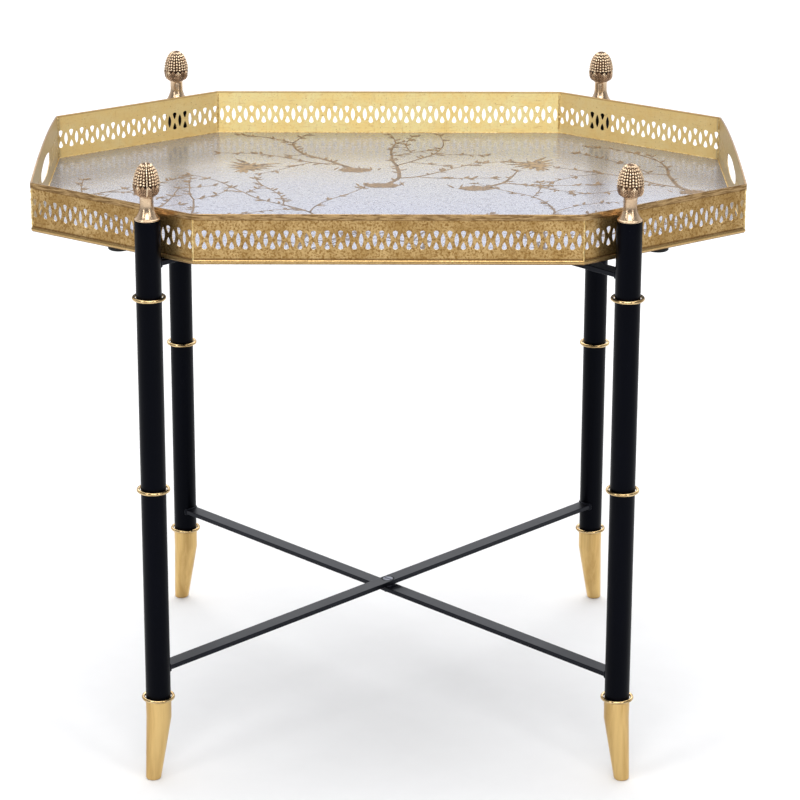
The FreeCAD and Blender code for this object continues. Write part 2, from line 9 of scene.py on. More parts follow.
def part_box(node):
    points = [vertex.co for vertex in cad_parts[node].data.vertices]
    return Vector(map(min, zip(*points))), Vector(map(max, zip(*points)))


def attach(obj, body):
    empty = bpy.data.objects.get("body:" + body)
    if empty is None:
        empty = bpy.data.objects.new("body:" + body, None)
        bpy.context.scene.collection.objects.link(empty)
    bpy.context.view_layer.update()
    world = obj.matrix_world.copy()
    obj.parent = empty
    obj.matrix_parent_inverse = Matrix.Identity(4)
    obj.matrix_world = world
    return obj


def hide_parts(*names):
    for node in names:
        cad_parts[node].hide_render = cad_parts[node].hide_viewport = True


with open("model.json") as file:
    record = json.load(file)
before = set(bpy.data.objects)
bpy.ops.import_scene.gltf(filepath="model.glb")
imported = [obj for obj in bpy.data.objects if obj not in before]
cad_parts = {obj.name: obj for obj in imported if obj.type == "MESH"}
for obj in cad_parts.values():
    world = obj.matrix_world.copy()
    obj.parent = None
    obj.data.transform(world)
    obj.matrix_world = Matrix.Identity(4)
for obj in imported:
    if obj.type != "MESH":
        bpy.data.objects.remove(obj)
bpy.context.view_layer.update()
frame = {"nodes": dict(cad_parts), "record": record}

MM = 0.001
BODY_OF = {
    node: body
    for body, members in frame["record"]["behaviour"]["bodies"].items()
    for node in members
}
LEGS = ("front_left", "front_right", "back_left", "back_right")


# ---------------------------------------------------------------- node materials

def tone(red, green, blue):
    """An sRGB colour, 0 to 255, as the linear colour that a shader takes."""
    linear = [
        c / 12.92 if c <= 0.04045 else ((c + 0.055) / 1.055) ** 2.4
        for c in (red / 255, green / 255, blue / 255)
    ]
    return (*linear, 1.0)


class Shader:
    """A node material that is built from short calls, each of which returns an output."""

    def __init__(self, name, settings):
        self.material = bpy.data.materials.new(name)
        self.material.use_nodes = True
        self.tree = self.material.node_tree
        self.surface = self.tree.nodes["Principled BSDF"]
        for socket, number in settings.items():
            self.surface.inputs[socket].default_value = number

    def node(self, kind, inputs, output=0, **attributes):
        made = self.tree.nodes.new(kind)
        for attribute, content in attributes.items():
            setattr(made, attribute, content)
        for socket, content in inputs.items():
            self.feed(made.inputs[socket], content)
        return made.outputs[output]

    def feed(self, socket, content):
        if isinstance(content, bpy.types.NodeSocket):
            self.tree.links.new(content, socket)
        else:
            socket.default_value = content

    def place(self):
        return self.node("ShaderNodeTexCoord", {}, "Object")

    def axes(self, vector):
        """The x, y and z of a vector."""
        split = self.node("ShaderNodeSeparateXYZ", {0: vector}).node
        return split.outputs[0], split.outputs[1], split.outputs[2]

    def stretched(self, vector, scale):
        return self.node("ShaderNodeMapping", {"Vector": vector, "Scale": scale})

    def noise(self, vector, scale, detail=5.0, rough=0.6, warp=0.0):
        settings = {
            "Vector": vector,
            "Scale": scale,
            "Detail": detail,
            "Roughness": rough,
            "Distortion": warp,
        }
        return self.node("ShaderNodeTexNoise", settings)

    def cells(self, vector, scale, feature="F1"):
        return self.node(
            "ShaderNodeTexVoronoi", {"Vector": vector, "Scale": scale}, feature=feature
        )

    def calc(self, operation, *values):
        return self.node("ShaderNodeMath", dict(enumerate(values)), operation=operation)

    def step(self, value, low, high):
        """0 below low, 1 above high, and smooth between them; low may be the larger."""
        settings = {0: value, 1: low, 2: high, 3: 0.0, 4: 1.0}
        return self.node("ShaderNodeMapRange", settings, interpolation_type="SMOOTHSTEP")

    def spread(self, value, low, high):
        """A 0 to 1 value as one from low to high."""
        return self.node("ShaderNodeMapRange", {0: value, 1: 0.0, 2: 1.0, 3: low, 4: high})

    def blend(self, share, first, second):
        """A colour from first to second as share goes from 0 to 1."""
        return self.node(
            "ShaderNodeMix", {0: share, 6: first, 7: second}, 2, data_type="RGBA"
        )

    def relief(self):
        """The height that a sculpted mesh keeps with its points, from 0 to 1."""
        return self.node("ShaderNodeAttribute", {}, "Fac", attribute_name="relief")

    def finish(self, colour=None, rough=None, metal=None, height=None, depth=0.1 * MM):
        """Feeds the surface; height is a 0 to 1 pattern that stands depth metres high."""
        if colour is not None:
            self.feed(self.surface.inputs["Base Color"], colour)
        if rough is not None:
            self.feed(self.surface.inputs["Roughness"], rough)
        if metal is not None:
            self.feed(self.surface.inputs["Metallic"], metal)
        if height is not None:
            bump = self.node(
                "ShaderNodeBump", {"Strength": 1.0, "Distance": depth, "Height": height}
            )
            self.feed(self.surface.inputs["Normal"], bump)
        return self.material


# ---------------------------------------------------------------- sizes from the frame

PANEL = frame["nodes"]["painted_panel"]
PANEL_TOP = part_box("painted_panel")[1].z
SHEET = 0.9 * MM  # the gallery's sheet metal
WALL_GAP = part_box("painted_panel")[0].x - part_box("end_panel_left")[1].x
RIM_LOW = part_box("gallery_front")[0].z
RIM_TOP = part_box("gallery_front")[1].z
RIM_MIDDLE = (RIM_LOW + RIM_TOP) / 2


def panel_corners():
    """The eight corners of the painted panel, counter-clockwise as seen from above."""
    corners = {
        (round(v.co.x, 5), round(v.co.y, 5))
        for v in PANEL.data.vertices
        if v.co.z > PANEL_TOP - 0.1 * MM
    }
    return sorted(corners, key=lambda corner: math.atan2(corner[1], corner[0]))


CORNERS = panel_corners()
HALF_LENGTH = max(x for x, _ in CORNERS)
HALF_DEPTH = max(y for _, y in CORNERS)
FRONT_END = max(x for x, y in CORNERS if y > HALF_DEPTH - 0.1 * MM)
END_WALL = HALF_LENGTH + WALL_GAP
HEM_HEIGHT = 5.6 * MM
BEAD_HEIGHT = 5.3 * MM


def outline(offset):
    """The panel's outline moved outwards by offset."""
    moved = []
    for i, corner in enumerate(CORNERS):
        before = Vector(CORNERS[i - 1])
        here = Vector(corner)
        after = Vector(CORNERS[(i + 1) % len(CORNERS)])
        first = (here - before).normalized()
        second = (after - here).normalized()
        normal_a = Vector((first.y, -first.x))
        normal_b = Vector((second.y, -second.x))
        moved.append(here + (normal_a + normal_b) * (offset / (1 + normal_a.dot(normal_b))))
    return moved


def wall_distance(s, place):
    """How far a point is outside the gallery's outer face, in metres; inside is negative."""
    x, y, _ = s.axes(place)
    x = s.calc("ABSOLUTE", x)
    y = s.calc("ABSOLUTE", y)
    outer = outline(WALL_GAP + SHEET)
    half_length = max(corner.x for corner in outer)
    half_depth = max(corner.y for corner in outer)
    end = max((c for c in outer if c.x > 0 and c.y > 0), key=lambda c: c.x)
    side = max((c for c in outer if c.x > 0 and c.y > 0), key=lambda c: c.y)
    along = (side - end).normalized()
    normal = Vector((along.y, -along.x))
    past_end = s.calc("SUBTRACT", x, half_length)
    past_side = s.calc("SUBTRACT", y, half_depth)
    slanted = s.calc("ADD", s.calc("MULTIPLY", x, normal.x), s.calc("MULTIPLY", y, normal.y))
    past_slant = s.calc("SUBTRACT", slanted, normal.dot(end))
    return s.calc("MAXIMUM", s.calc("MAXIMUM", past_end, past_side), past_slant)


# ---------------------------------------------------------------- the metals and paints

def rim_level(s, place):
    """Height of a point, less the rise of the arched top where it is on an end panel."""
    x, y, height = s.axes(place)
    low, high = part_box("end_panel_right")
    on_end = s.step(s.calc("ABSOLUTE", x), low.x - 1.5 * MM, low.x)
    share = s.calc("POWER", s.calc("ABSOLUTE", s.calc("DIVIDE", y, high.y)), 2.0)
    rise = s.calc("MULTIPLY", s.calc("SUBTRACT", 1.0, share), high.z - RIM_TOP)
    return s.calc("SUBTRACT", height, s.calc("MULTIPLY", on_end, rise))


def gallery_zones(s, place):
    """Shares of the gallery's hem, lower bead, plain outer face and inner face, and its level."""
    level = rim_level(s, place)
    outward = wall_distance(s, place)
    proud = s.step(outward, 0.25 * MM, 0.7 * MM)
    upper = s.step(level, RIM_MIDDLE - 4 * MM, RIM_MIDDLE + 4 * MM)
    hem = s.calc("MULTIPLY", proud, upper)
    bead = s.calc("SUBTRACT", proud, hem)
    inside = s.step(outward, -0.3 * MM, -0.75 * MM)
    face = s.calc("SUBTRACT", s.calc("SUBTRACT", 1.0, proud), inside)
    return level, hem, bead, face, inside


def aged_gold(s, clouds, mottle, stain, drips):
    """The colour of the gallery's outside: mottled gold with brown stains and drips."""
    gold = s.blend(s.step(clouds, 0.34, 0.68), tone(170, 136, 82), tone(202, 170, 116))
    gold = s.blend(s.step(mottle, 0.47, 0.6), gold, tone(144, 108, 56))
    gold = s.blend(s.calc("MULTIPLY", stain, 0.6), gold, tone(112, 80, 42))
    return s.blend(s.calc("MULTIPLY", s.step(drips, 0.6, 0.78), 0.3), gold, tone(150, 108, 52))


def lit_inside_gold(s, place, level, clouds, mottle, lines, drips):
    """The colour of the gallery's inside: yellower and brighter than the outside, partly painted light,
    with painted shade on the slanted strips and the ends.
    """
    length = s.calc("ABSOLUTE", s.axes(place)[0])
    lit = s.blend(s.step(clouds, 0.34, 0.68), tone(255, 226, 148), tone(255, 238, 172))
    lit = s.blend(s.calc("MULTIPLY", s.step(mottle, 0.5, 0.66), 0.5), lit, tone(236, 200, 124))
    lit = s.blend(s.calc("MULTIPLY", s.step(lines, 0.56, 0.7), 0.45), lit, tone(206, 160, 92))
    lit = s.blend(s.calc("MULTIPLY", s.step(drips, 0.58, 0.76), 0.4), lit, tone(214, 172, 102))
    # Painted shade: the inside of the slanted strips is painted darker.
    slanted = s.step(length, FRONT_END - 2 * MM, FRONT_END + 4 * MM)
    lit = s.blend(s.calc("MULTIPLY", slanted, 0.5), lit, tone(196, 160, 104))
    # Painted shade: the inside of the end panels is painted darker and greyer.
    on_end = s.step(length, END_WALL - 3.6 * MM, END_WALL - 0.6 * MM)
    lit = s.blend(s.calc("MULTIPLY", on_end, 0.6), lit, tone(150, 134, 108))
    edge = s.step(level, RIM_TOP - 2.2 * MM, RIM_TOP - 1.2 * MM)
    return s.blend(s.calc("MULTIPLY", edge, 0.6), lit, tone(150, 108, 56))


def gilt_brass():
    """Aged gilding: mottled gold with brown streaks, a darker hem, painted shade under the hem and above
    the bead, a painted highlight on the bead, and a yellower inside that is partly painted light.
    """
    s = Shader("gilt_brass", {})
    place = s.place()
    level, hem, bead, face, inside = gallery_zones(s, place)
    clouds = s.noise(place, 38.0, 6.0, 0.62, 0.4)
    mottle = s.noise(place, 420.0, 5.0, 0.72)
    lines = s.noise(s.stretched(place, (1.0, 1.0, 9.0)), 70.0, 5.0, 0.6, 0.3)
    drips = s.noise(s.stretched(place, (6.0, 6.0, 1.0)), 55.0, 4.0, 0.6)
    stain = s.calc("MULTIPLY", s.step(lines, 0.55, 0.74), s.step(clouds, 0.62, 0.42))
    gold = aged_gold(s, clouds, mottle, stain, drips)
    dark_hem = s.blend(s.step(lines, 0.4, 0.62), tone(186, 154, 108), tone(116, 88, 54))
    colour = s.blend(s.calc("MULTIPLY", hem, 0.9), gold, dark_hem)
    # Painted highlight: the lower bead is painted lighter than the face.
    colour = s.blend(s.calc("MULTIPLY", bead, 0.6), colour, tone(190, 158, 106))
    # The inner face is painted paler and brighter than the outer face: partly the inside's own yellower
    # gilding, partly painted light, a lit copy of the gilding beside the shaded outside.
    lit = lit_inside_gold(s, place, level, clouds, mottle, lines, drips)
    colour = s.blend(inside, colour, lit)
    pits = s.step(s.cells(s.stretched(place, (1.0, 1.0, 1.4)), 300.0), 0.2, 0.08)
    pits = s.calc("MULTIPLY", pits, s.step(mottle, 0.5, 0.58))
    colour = s.blend(s.calc("MULTIPLY", pits, 0.75), colour, tone(70, 46, 22))
    top_edge = RIM_TOP - HEM_HEIGHT
    under_hem = s.step(level, top_edge - 1.5 * MM, top_edge - 0.3 * MM)
    over_bead = s.step(level, RIM_LOW + BEAD_HEIGHT + 1.5 * MM, RIM_LOW + BEAD_HEIGHT + 0.3 * MM)
    # Painted shade: a dark line under the proud hem and in the crease above the lower bead.
    painted_crease_shade = s.calc("MULTIPLY", face, s.calc("MAXIMUM", under_hem, over_bead))
    colour = s.blend(s.calc("MULTIPLY", painted_crease_shade, 0.7), colour, tone(92, 62, 30))
    rough = s.spread(s.calc("ADD", s.calc("MULTIPLY", mottle, 0.6), stain), 0.2, 0.5)
    rough = s.calc("ADD", rough, s.calc("MULTIPLY", inside, 0.14))
    bumps = s.calc("SUBTRACT", s.calc("ADD", mottle, s.calc("MULTIPLY", lines, 0.5)), pits)
    return s.finish(colour, rough, s.spread(inside, 0.88, 0.14), bumps, 0.04 * MM)


def solder():
    """The soft pale metal run into the gallery's joints."""
    s = Shader("joint_solder", {"Metallic": 0.8})
    place = s.place()
    grain = s.noise(place, 320.0, 5.0, 0.65)
    patches = s.noise(place, 90.0, 3.0, 0.6)
    colour = s.blend(s.step(grain, 0.35, 0.65), tone(204, 168, 100), tone(244, 222, 164))
    colour = s.blend(s.calc("MULTIPLY", s.step(patches, 0.5, 0.7), 0.5), colour, tone(150, 112, 60))
    return s.finish(colour, s.spread(grain, 0.24, 0.5), None, grain, 0.15 * MM)


def silvered_panel():
    """Silver leaf under lacquer: cool satin silver, crazed with fine dark cracks and specks, with a
    painted reflection of the gallery that makes it warmer towards the back.
    """
    coat = {"Coat Weight": 0.15, "Coat Roughness": 0.14, "Specular IOR Level": 0.4}
    s = Shader("silvered_panel", coat)
    place = s.place()
    _, depth, _ = s.axes(place)
    wide = s.noise(place, 9.0, 4.0, 0.6)
    leaf = s.noise(place, 140.0, 5.0, 0.65)
    # Painted reflection: the panel is painted lighter and warmer towards the back, where the gilt
    # gallery is mirrored in it, and bluer at the front.
    front = s.step(depth, 190 * MM, -220 * MM)
    colour = s.blend(front, tone(163, 162, 161), tone(141, 145, 162))
    colour = s.blend(s.calc("MULTIPLY", s.step(wide, 0.4, 0.7), 0.25), colour, tone(150, 152, 172))
    colour = s.blend(s.calc("MULTIPLY", s.step(leaf, 0.5, 0.75), 0.2), colour, tone(134, 134, 152))
    wander = s.node("ShaderNodeTexNoise", {"Vector": place, "Scale": 260.0}, 1)
    warped = s.node(
        "ShaderNodeVectorMath",
        {0: place, 1: s.stretched(wander, (0.007, 0.007, 0.0))},
        operation="ADD",
    )
    cracks = s.step(s.cells(warped, 230.0, "DISTANCE_TO_EDGE"), 0.14, 0.05)
    broken = s.step(s.noise(place, 330.0, 3.0, 0.6), 0.47, 0.56)
    dense = s.spread(front, 0.3, 1.0)
    cracks = s.calc("MULTIPLY", s.calc("MULTIPLY", cracks, broken), dense)
    specks = s.calc("MULTIPLY", s.step(s.cells(place, 480.0), 0.3, 0.14), s.step(leaf, 0.48, 0.6))
    marks = s.calc("MAXIMUM", cracks, s.calc("MULTIPLY", specks, dense))
    colour = s.blend(s.calc("MULTIPLY", marks, 0.8), colour, tone(74, 72, 92))
    rough = s.spread(s.calc("ADD", s.calc("MULTIPLY", leaf, 0.5), marks), 0.17, 0.36)
    height = s.calc("SUBTRACT", s.calc("MULTIPLY", leaf, 0.4), marks)
    return s.finish(colour, rough, s.spread(marks, 0.6, 0.2), height, 0.008 * MM)


def paint(name, back, front, dark, scale):
    """Thin brushed paint whose colour goes from front to back, with darker touches."""
    s = Shader(name, {"Specular IOR Level": 0.12})
    place = s.place()
    _, depth, _ = s.axes(place)
    strokes = s.noise(place, scale, 5.0, 0.7, 0.6)
    colour = s.blend(s.step(depth, -210 * MM, 60 * MM), front, back)
    colour = s.blend(s.step(strokes, 0.44, 0.62), colour, dark)
    return s.finish(colour, s.spread(strokes, 0.26, 0.5), None, strokes, 0.04 * MM)


def screw_ring_shade(s, place):
    """1 in the narrow ring of painted shade round the head of the screw at the bars' crossing."""
    low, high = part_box("lower_pivot_screw")
    edge = (high.x - low.x) / 2
    x, y, _ = s.axes(place)
    squares = s.calc("ADD", s.calc("MULTIPLY", x, x), s.calc("MULTIPLY", y, y))
    reach = s.calc("SQRT", squares)
    within = s.step(reach, edge + 1.3 * MM, edge + 0.9 * MM)
    return s.calc("MULTIPLY", within, s.step(reach, edge - 0.9 * MM, edge - 0.5 * MM))


def black_paint(name, colour, gloss, screwed=False):
    """Black satin paint with faint orange peel, dust and rubbed patches; screwed adds a ring of painted
    shade round the pivot screw's head.
    """
    s = Shader(name, {"Specular IOR Level": gloss, "Specular Tint": (0.72, 0.8, 1.0, 1.0)})
    place = s.place()
    peel = s.noise(place, 420.0, 3.0, 0.5)
    rubbed = s.noise(s.stretched(place, (1.0, 1.0, 0.3)), 24.0, 5.0, 0.6)
    dust = s.step(s.cells(place, 330.0), 0.11, 0.05)
    dust = s.calc("MULTIPLY", dust, s.step(rubbed, 0.52, 0.66))
    lighter = tuple(1.9 * c for c in colour[:3]) + (1.0,)
    shade = s.blend(s.step(rubbed, 0.38, 0.72), colour, lighter)
    shade = s.blend(s.calc("MULTIPLY", dust, 0.25), shade, tone(92, 92, 98))
    rough = s.spread(s.calc("ADD", rubbed, s.calc("MULTIPLY", peel, 0.3)), 0.27, 0.42)
    if screwed:
        # Painted shade: a dark ring on the bars round the screw head.
        ring_shade = screw_ring_shade(s, place)
        shade = s.blend(ring_shade, shade, tone(0, 0, 0))
        rough = s.calc("ADD", rough, s.calc("MULTIPLY", ring_shade, 0.5))
    return s.finish(shade, rough, None, peel, 0.02 * MM)


def bronze():
    """Cast finial brass, bronzed: gold on the high points and brown-black in the hollows."""
    s = Shader("bronze_finial", {"Metallic": 0.95})
    place = s.place()
    relief = s.relief()
    cast = s.noise(place, 420.0, 4.0, 0.6)
    patches = s.noise(place, 110.0, 4.0, 0.6)
    colour = s.blend(s.step(relief, 0.2, 0.62), tone(54, 40, 32), tone(176, 144, 114))
    colour = s.blend(s.step(relief, 0.6, 0.92), colour, tone(252, 230, 196))
    worn = s.calc("MULTIPLY", s.step(patches, 0.42, 0.68), 0.35)
    colour = s.blend(worn, colour, tone(150, 116, 86))
    rough = s.spread(s.calc("MULTIPLY", cast, s.step(relief, 1.1, 0.2)), 0.2, 0.55)
    return s.finish(colour, rough, None, cast, 0.04 * MM)


def polished_brass(name, light, shade, rough_low, rough_high, grain):
    """Brass with fine polishing lines that follow grain, and slow changes of tarnish."""
    s = Shader(name, {"Metallic": 1.0})
    place = s.place()
    lines = s.noise(s.stretched(place, grain), 300.0, 4.0, 0.6)
    tarnish = s.noise(s.stretched(place, grain), 90.0, 5.0, 0.62, 0.3)
    specks = s.step(s.cells(place, 380.0), 0.12, 0.05)
    specks = s.calc("MULTIPLY", specks, s.step(tarnish, 0.5, 0.6))
    colour = s.blend(s.step(tarnish, 0.34, 0.7), light, shade)
    colour = s.blend(s.calc("MULTIPLY", s.step(lines, 0.5, 0.75), 0.3), colour, shade)
    colour = s.blend(s.calc("MULTIPLY", specks, 0.6), colour, tone(96, 70, 36))
    rough = s.spread(s.calc("ADD", s.calc("MULTIPLY", lines, 0.5), specks), rough_low, rough_high)
    return s.finish(colour, rough, None, lines, 0.03 * MM)


def rubber():
    """Matt black rubber with moulding grain and dust."""
    s = Shader("rubber_pad", {"Specular IOR Level": 0.3})
    grain = s.noise(s.place(), 700.0, 3.0, 0.6)
    dust = s.noise(s.place(), 90.0, 4.0, 0.7)
    colour = s.blend(s.step(dust, 0.45, 0.8), tone(24, 24, 25), tone(58, 57, 56))
    return s.finish(colour, s.spread(dust, 0.65, 0.9), None, grain, 0.05 * MM)


def turned_steel(name, light, shade):
    """Turned steel: fine rings of tool marks, a little oil stain, and a ring of painted shade at the rim
    of the pivot screw's head.
    """
    s = Shader(name, {"Metallic": 1.0})
    place = s.place()
    marks = s.noise(s.stretched(place, (1.0, 1.0, 12.0)), 260.0, 4.0, 0.6)
    stain = s.noise(place, 150.0, 4.0, 0.65)
    colour = s.blend(s.step(stain, 0.4, 0.7), light, shade)
    # Painted shade: a dark ring at the rim of the screw head.
    colour = s.blend(screw_ring_shade(s, place), colour, tone(4, 4, 6))
    return s.finish(colour, s.spread(marks, 0.22, 0.5), None, marks, 0.04 * MM)


MATERIALS = {
    "gilt_brass": gilt_brass(),
    "silvered_panel": silvered_panel(),
    "tray_sheet": black_paint("tray_sheet", tone(30, 30, 33), 0.35),
    "rubber_pad": rubber(),
    "black_tube": black_paint("black_tube", tone(1, 1, 4), 0.07),
    "black_bar": black_paint("black_bar", tone(5, 5, 9), 0.2, screwed=True),
    "plug_steel": turned_steel("plug_steel", tone(188, 188, 190), tone(140, 138, 138)),
    "pivot_steel": turned_steel("pivot_steel", tone(112, 114, 124), tone(70, 72, 82)),
    "bronze_finial": bronze(),
    "ring_brass": polished_brass(
        "ring_brass", tone(220, 192, 142), tone(158, 128, 82), 0.14, 0.3, (1.0, 1.0, 1.0)
    ),
    "sabot_brass": polished_brass(
        "sabot_brass", tone(220, 187, 125), tone(192, 156, 97), 0.26, 0.42, (1.0, 1.0, 0.08)
    ),
}
SOLDER = solder()
TWIG_PAINT = paint("twig_paint", tone(124, 100, 72), tone(98, 84, 80), tone(76, 62, 50), 260.0)
LEAF_PAINT = paint("leaf_paint", tone(136, 110, 78), tone(110, 96, 90), tone(82, 66, 54), 420.0)
BIRD_PAINT = paint("bird_paint", tone(146, 120, 84), tone(130, 108, 86), tone(84, 66, 48), 190.0)


def dress_cad_nodes():
    for part in frame["record"]["subparts"]:
        for holder in frame["nodes"][part["node"]].material_slots:
            holder.material = MATERIALS[part["material_slot"]]


# ---------------------------------------------------------------- mesh building

class Shape:
    """Points and faces gathered from several parts and then made into one piece."""

    def __init__(self):
        self.points = []
        self.faces = []
        self.relief = []

    def add(self, points, faces, relief=None):
        start = len(self.points)
        self.points += [tuple(point) for point in points]
        self.faces += [tuple(start + i for i in face) for face in faces]
        self.relief += relief or [1.0] * len(points)

    def build(self, name, body, material, smooth=True):
        mesh = bpy.data.meshes.new(name)
        mesh.from_pydata(self.points, [], self.faces)
        mesh.polygons.foreach_set("use_smooth", [smooth] * len(mesh.polygons))
        heights = mesh.attributes.new("relief", "FLOAT", "POINT")
        heights.data.foreach_set("value", self.relief)
        mesh.materials.append(material)
        piece = bpy.data.objects.new(name, mesh)
        bpy.context.scene.collection.objects.link(piece)
        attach(piece, body)
        return piece


def ring_faces(rows, columns, capped=True):
    """Faces of a grid whose columns close round, rows going upwards, with both ends closed."""
    faces = []
    for row in range(rows - 1):
        for column in range(columns):
            right = (column + 1) % columns
            low, high = row * columns, (row + 1) * columns
            faces.append((low + column, low + right, high + right, high + column))
    if capped:
        faces.append(tuple(reversed(range(columns))))
        faces.append(tuple(range((rows - 1) * columns, rows * columns)))
    return faces


def turned(shape, axis, profile, columns, sculpt=None, shift=None):
    """Turns a profile of (radius, height) about an upright axis; sculpt moves the radius."""
    points = []
    relief = []
    for radius, height in profile:
        centre = axis + (shift(height) if shift else Vector((0.0, 0.0)))
        for column in range(columns):
            angle = 2 * math.pi * column / columns
            lift, shade = sculpt(angle, height) if sculpt else (0.0, 1.0)
            reach = radius + lift
            points.append(
                (centre.x + reach * math.cos(angle), centre.y + reach * math.sin(angle), height)
            )
            relief.append(shade)
    shape.add(points, ring_faces(len(profile), columns), relief)


def sweep(shape, path, radius_at, sides=10, closed=False):
    """A round bead along a path, radius_at(i) thick at its point i."""
    count = len(path)
    across = None
    points = []
    for i, here in enumerate(path):
        before = path[i - 1] if closed or i else here
        after = path[(i + 1) % count] if closed or i < count - 1 else here
        along = (after - before).normalized()
        across = along.orthogonal() if across is None else across - along * across.dot(along)
        across.normalize()
        side = along.cross(across)
        for k in range(sides):
            angle = 2 * math.pi * k / sides
            points.append(here + (across * math.cos(angle) + side * math.sin(angle)) * radius_at(i))
    faces = ring_faces(count, sides, capped=not closed)
    if closed:
        last = (count - 1) * sides
        faces += [(last + k, last + (k + 1) % sides, (k + 1) % sides, k) for k in range(sides)]
    shape.add(points, faces)


def clamp(value, low=0.0, high=1.0):
    return max(low, min(high, value))


def ease(value):
    value = clamp(value)
    return value * value * (3 - 2 * value)


def span(low, high, count):
    return [low + (high - low) * i / (count - 1) for i in range(count)]


def middle_of(node):
    low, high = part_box(node)
    return Vector(((low.x + high.x) / 2, (low.y + high.y) / 2))


# ---------------------------------------------------------------- finials

FLARE_RADIUS = 12.6 * MM
FLARE_LEDGE = 1.6 * MM
NECK_RADIUS = 6.75 * MM
NECK_LOW = 15.5 * MM
NECK_HIGH = 22 * MM
HUSK_RADIUS = 9 * MM
HUSK_LOW = 24.8 * MM
WIDEST = 31 * MM
HUSK_TOP = 36.2 * MM
STUD_RADIUS = 4 * MM
BEAD_PITCH = 2.9 * MM
BEAD_COLUMNS = 24
RELIEF = 1.8 * MM
LEAVES = 7
RIDGE_WIDTH = 0.6 * MM
RIDGE_ANGLES = {"front_left": -83, "front_right": -20, "back_left": -140, "back_right": 70}


def finial_profile(base, top, widest_radius):
    """The finial's plain outline, from its stud up to its tip, with fine steps where it is cast."""
    height = top - base
    profile = [(0.4 * MM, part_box("finial_front_left")[0].z)]
    profile += [(STUD_RADIUS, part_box("finial_front_left")[0].z + 0.2 * MM), (STUD_RADIUS, base)]
    profile += [(FLARE_RADIUS - 0.3 * MM, base), (FLARE_RADIUS, base + 0.3 * MM)]
    profile += [(FLARE_RADIUS, base + FLARE_LEDGE - 0.4 * MM)]
    profile += [(FLARE_RADIUS - 0.35 * MM, base + FLARE_LEDGE)]
    for z in span(FLARE_LEDGE + 0.3 * MM, NECK_LOW, 26):
        share = (z - FLARE_LEDGE) / (NECK_LOW - FLARE_LEDGE)
        reach = FLARE_RADIUS - 0.7 * MM - NECK_RADIUS
        profile.append((NECK_RADIUS + reach * (1 - share) ** 2.1, base + z))
    for z in span(NECK_HIGH, HUSK_LOW, 6):
        share = (z - NECK_HIGH) / (HUSK_LOW - NECK_HIGH)
        profile.append((NECK_RADIUS + (HUSK_RADIUS - NECK_RADIUS) * share**1.8, base + z))
    for z in span(HUSK_LOW + 0.3 * MM, WIDEST, 32):
        share = (z - HUSK_LOW) / (WIDEST - HUSK_LOW)
        bulge = math.sin(share * math.pi / 2) ** 0.5
        profile.append((HUSK_RADIUS + (widest_radius - HUSK_RADIUS) * bulge, base + z))
    for z in span(WIDEST + 0.3 * MM, height - 0.15 * MM, 88):
        share = (z - WIDEST) / (height - WIDEST)
        profile.append((widest_radius * (1 - share**2.4) ** 0.5 + 0.1 * MM, base + z))
    profile.append((0.05 * MM, top))
    return profile


def leaf_height(angle, share, turn):
    """Relief of one row of husk leaves, 0 between them and up to 1 on a leaf's rib."""
    local = (angle / (2 * math.pi) * LEAVES + turn) % 1.0
    across = 2 * local - 1
    lobes = 0.06 * math.sin(share * 21)
    half = 0.96 * (1 - share**2.6) ** 0.7 + lobes
    body = ease((half - abs(across)) / 0.2)
    rib = math.exp(-((across / 0.1) ** 2))
    veins = 0.5 + 0.5 * math.cos(2 * math.pi * (4.2 * share - 2.1 * abs(across)))
    curl = ease((share - 0.5) / 0.45) * 0.35
    return body * (0.3 + 0.38 * veins * (1 - rib) + 0.4 * rib + curl)


def bead_height(angle, height, base, radius):
    """Relief of the upright columns of small round scales."""
    column = angle / (2 * math.pi) * BEAD_COLUMNS
    row = (height - base - HUSK_TOP) / BEAD_PITCH + 0.2 * (int(math.floor(column)) % 2)
    across = 2 * (column % 1.0) - 1
    along = 2 * (row % 1.0) - 1
    return math.sqrt(clamp(1.0 - across * across - along * along)) * clamp(radius / (5 * MM))


def finial_sculptor(base, ridge_angle, radius_at):
    """A function that gives the lift and the shade of the casting at an angle and a height."""

    def sculpt(angle, height):
        up = height - base
        if up < HUSK_LOW - 0.1 * MM:
            return 0.0, 0.74
        radius = radius_at(height)
        if up < HUSK_TOP:
            share = (up - HUSK_LOW) / (HUSK_TOP - HUSK_LOW)
            front = leaf_height(angle, share, 0.0)
            behind = 0.62 * leaf_height(angle, share, 0.5)
            pattern = max(front, behind)
            seam = ease(share / 0.06) * ease((1 - share) / 0.05)
        else:
            pattern = bead_height(angle, height, base, radius)
            seam = ease((up - HUSK_TOP) / (0.7 * MM))
        pattern = pattern * seam
        turn = (angle - ridge_angle + math.pi) % (2 * math.pi) - math.pi
        off_ridge = abs(turn) * radius
        ridge = math.exp(-((off_ridge / RIDGE_WIDTH) ** 2))
        groove = math.exp(-(((off_ridge - 2.1 * RIDGE_WIDTH) / (0.8 * RIDGE_WIDTH)) ** 2))
        pattern = clamp(pattern * (1 - 0.45 * groove) * (1 - ridge) + 0.95 * ridge)
        return (pattern - 0.75) * RELIEF * clamp(radius / (4 * MM)), pattern

    return sculpt


def build_finials():
    for leg in LEGS:
        node = "finial_" + leg
        low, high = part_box(node)
        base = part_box("leg_tube_" + leg)[1].z
        profile = finial_profile(base, high.z, (high.x - low.x) / 2)
        radii = {height: radius for radius, height in profile}
        sculpt = finial_sculptor(base, math.radians(RIDGE_ANGLES[leg]), radii.get)
        shape = Shape()
        turned(shape, middle_of(node), profile, 220, sculpt)
        piece = shape.build(
            "cast_" + node, BODY_OF[node], MATERIALS["bronze_finial"]
        )
        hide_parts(node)


# ---------------------------------------------------------------- legs

